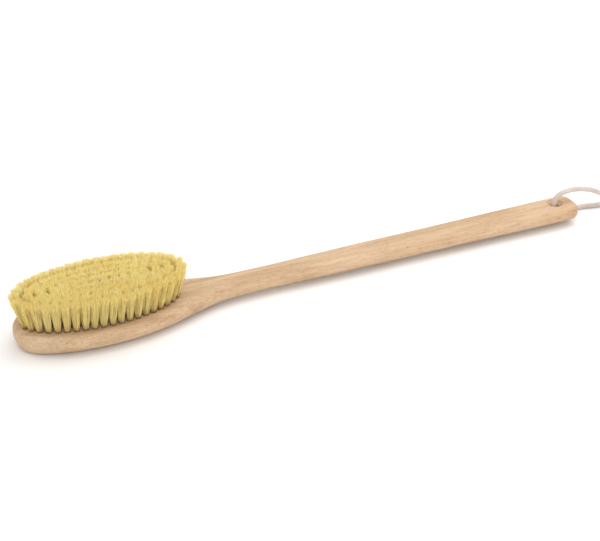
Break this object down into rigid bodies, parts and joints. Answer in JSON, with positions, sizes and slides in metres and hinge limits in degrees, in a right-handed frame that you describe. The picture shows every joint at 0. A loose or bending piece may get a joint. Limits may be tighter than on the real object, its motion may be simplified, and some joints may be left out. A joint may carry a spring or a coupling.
{
  "type": "body dry brush",
  "caption": "Long-handled body brush: a flat oval beech head full of trimmed plant-fibre tufts, a slim straight handle and a cotton hanging cord.",
  "frame": {"origin": "under the middle of the brush's wood, on the plane that the back of the head rests on", "axes": "+X from the head to the end of the handle, +Z towards the bristle tips, +Y to the left when looking along +X"},
  "size_m": [0.5222, 0.0652, 0.039],
  "materials": {
    "beech": "satin",
    "bristle_fibre": "matte",
    "anchor_wire": "satin",
    "cotton_cord": "matte"
  },
  "bodies": {
    "root": {"anchors_ring_1_neck_left": "anchor_wire", "anchors_ring_1_neck_right": "anchor_wire", "anchors_ring_1_toe_left": "anchor_wire", "anchors_ring_1_toe_right": "anchor_wire", "anchors_ring_2_neck_left": "anchor_wire", "anchors_ring_2_neck_right": "anchor_wire", "anchors_ring_2_toe_left": "anchor_wire", "anchors_ring_2_toe_right": "anchor_wire", "anchors_ring_3_neck_left": "anchor_wire", "anchors_ring_3_neck_right": "anchor_wire", "anchors_ring_3_toe_left": "anchor_wire", "anchors_ring_3_toe_right": "anchor_wire", "anchors_ring_4_neck_left": "anchor_wire", "anchors_ring_4_neck_right": "anchor_wire", "anchors_ring_4_toe_left": "anchor_wire", "anchors_ring_4_toe_right": "anchor_wire", "cord_knot": "cotton_cord", "hanging_cord_lower": "cotton_cord", "hanging_cord_upper": "cotton_cord", "tufts_ring_1_neck_left": "bristle_fibre", "tufts_ring_1_neck_right": "bristle_fibre", "tufts_ring_1_toe_left": "bristle_fibre", "tufts_ring_1_toe_right": "bristle_fibre", "tufts_ring_2_neck_left": "bristle_fibre", "tufts_ring_2_neck_right": "bristle_fibre", "tufts_ring_2_toe_left": "bristle_fibre", "tufts_ring_2_toe_right": "bristle_fibre", "tufts_ring_3_neck_left": "bristle_fibre", "tufts_ring_3_neck_right": "bristle_fibre", "tufts_ring_3_toe_left": "bristle_fibre", "tufts_ring_3_toe_right": "bristle_fibre", "tufts_ring_4_neck_left": "bristle_fibre", "tufts_ring_4_neck_right": "bristle_fibre", "tufts_ring_4_toe_left": "bristle_fibre", "tufts_ring_4_toe_right": "bristle_fibre", "wooden_body": "beech"}
  },
  "joints": []
}
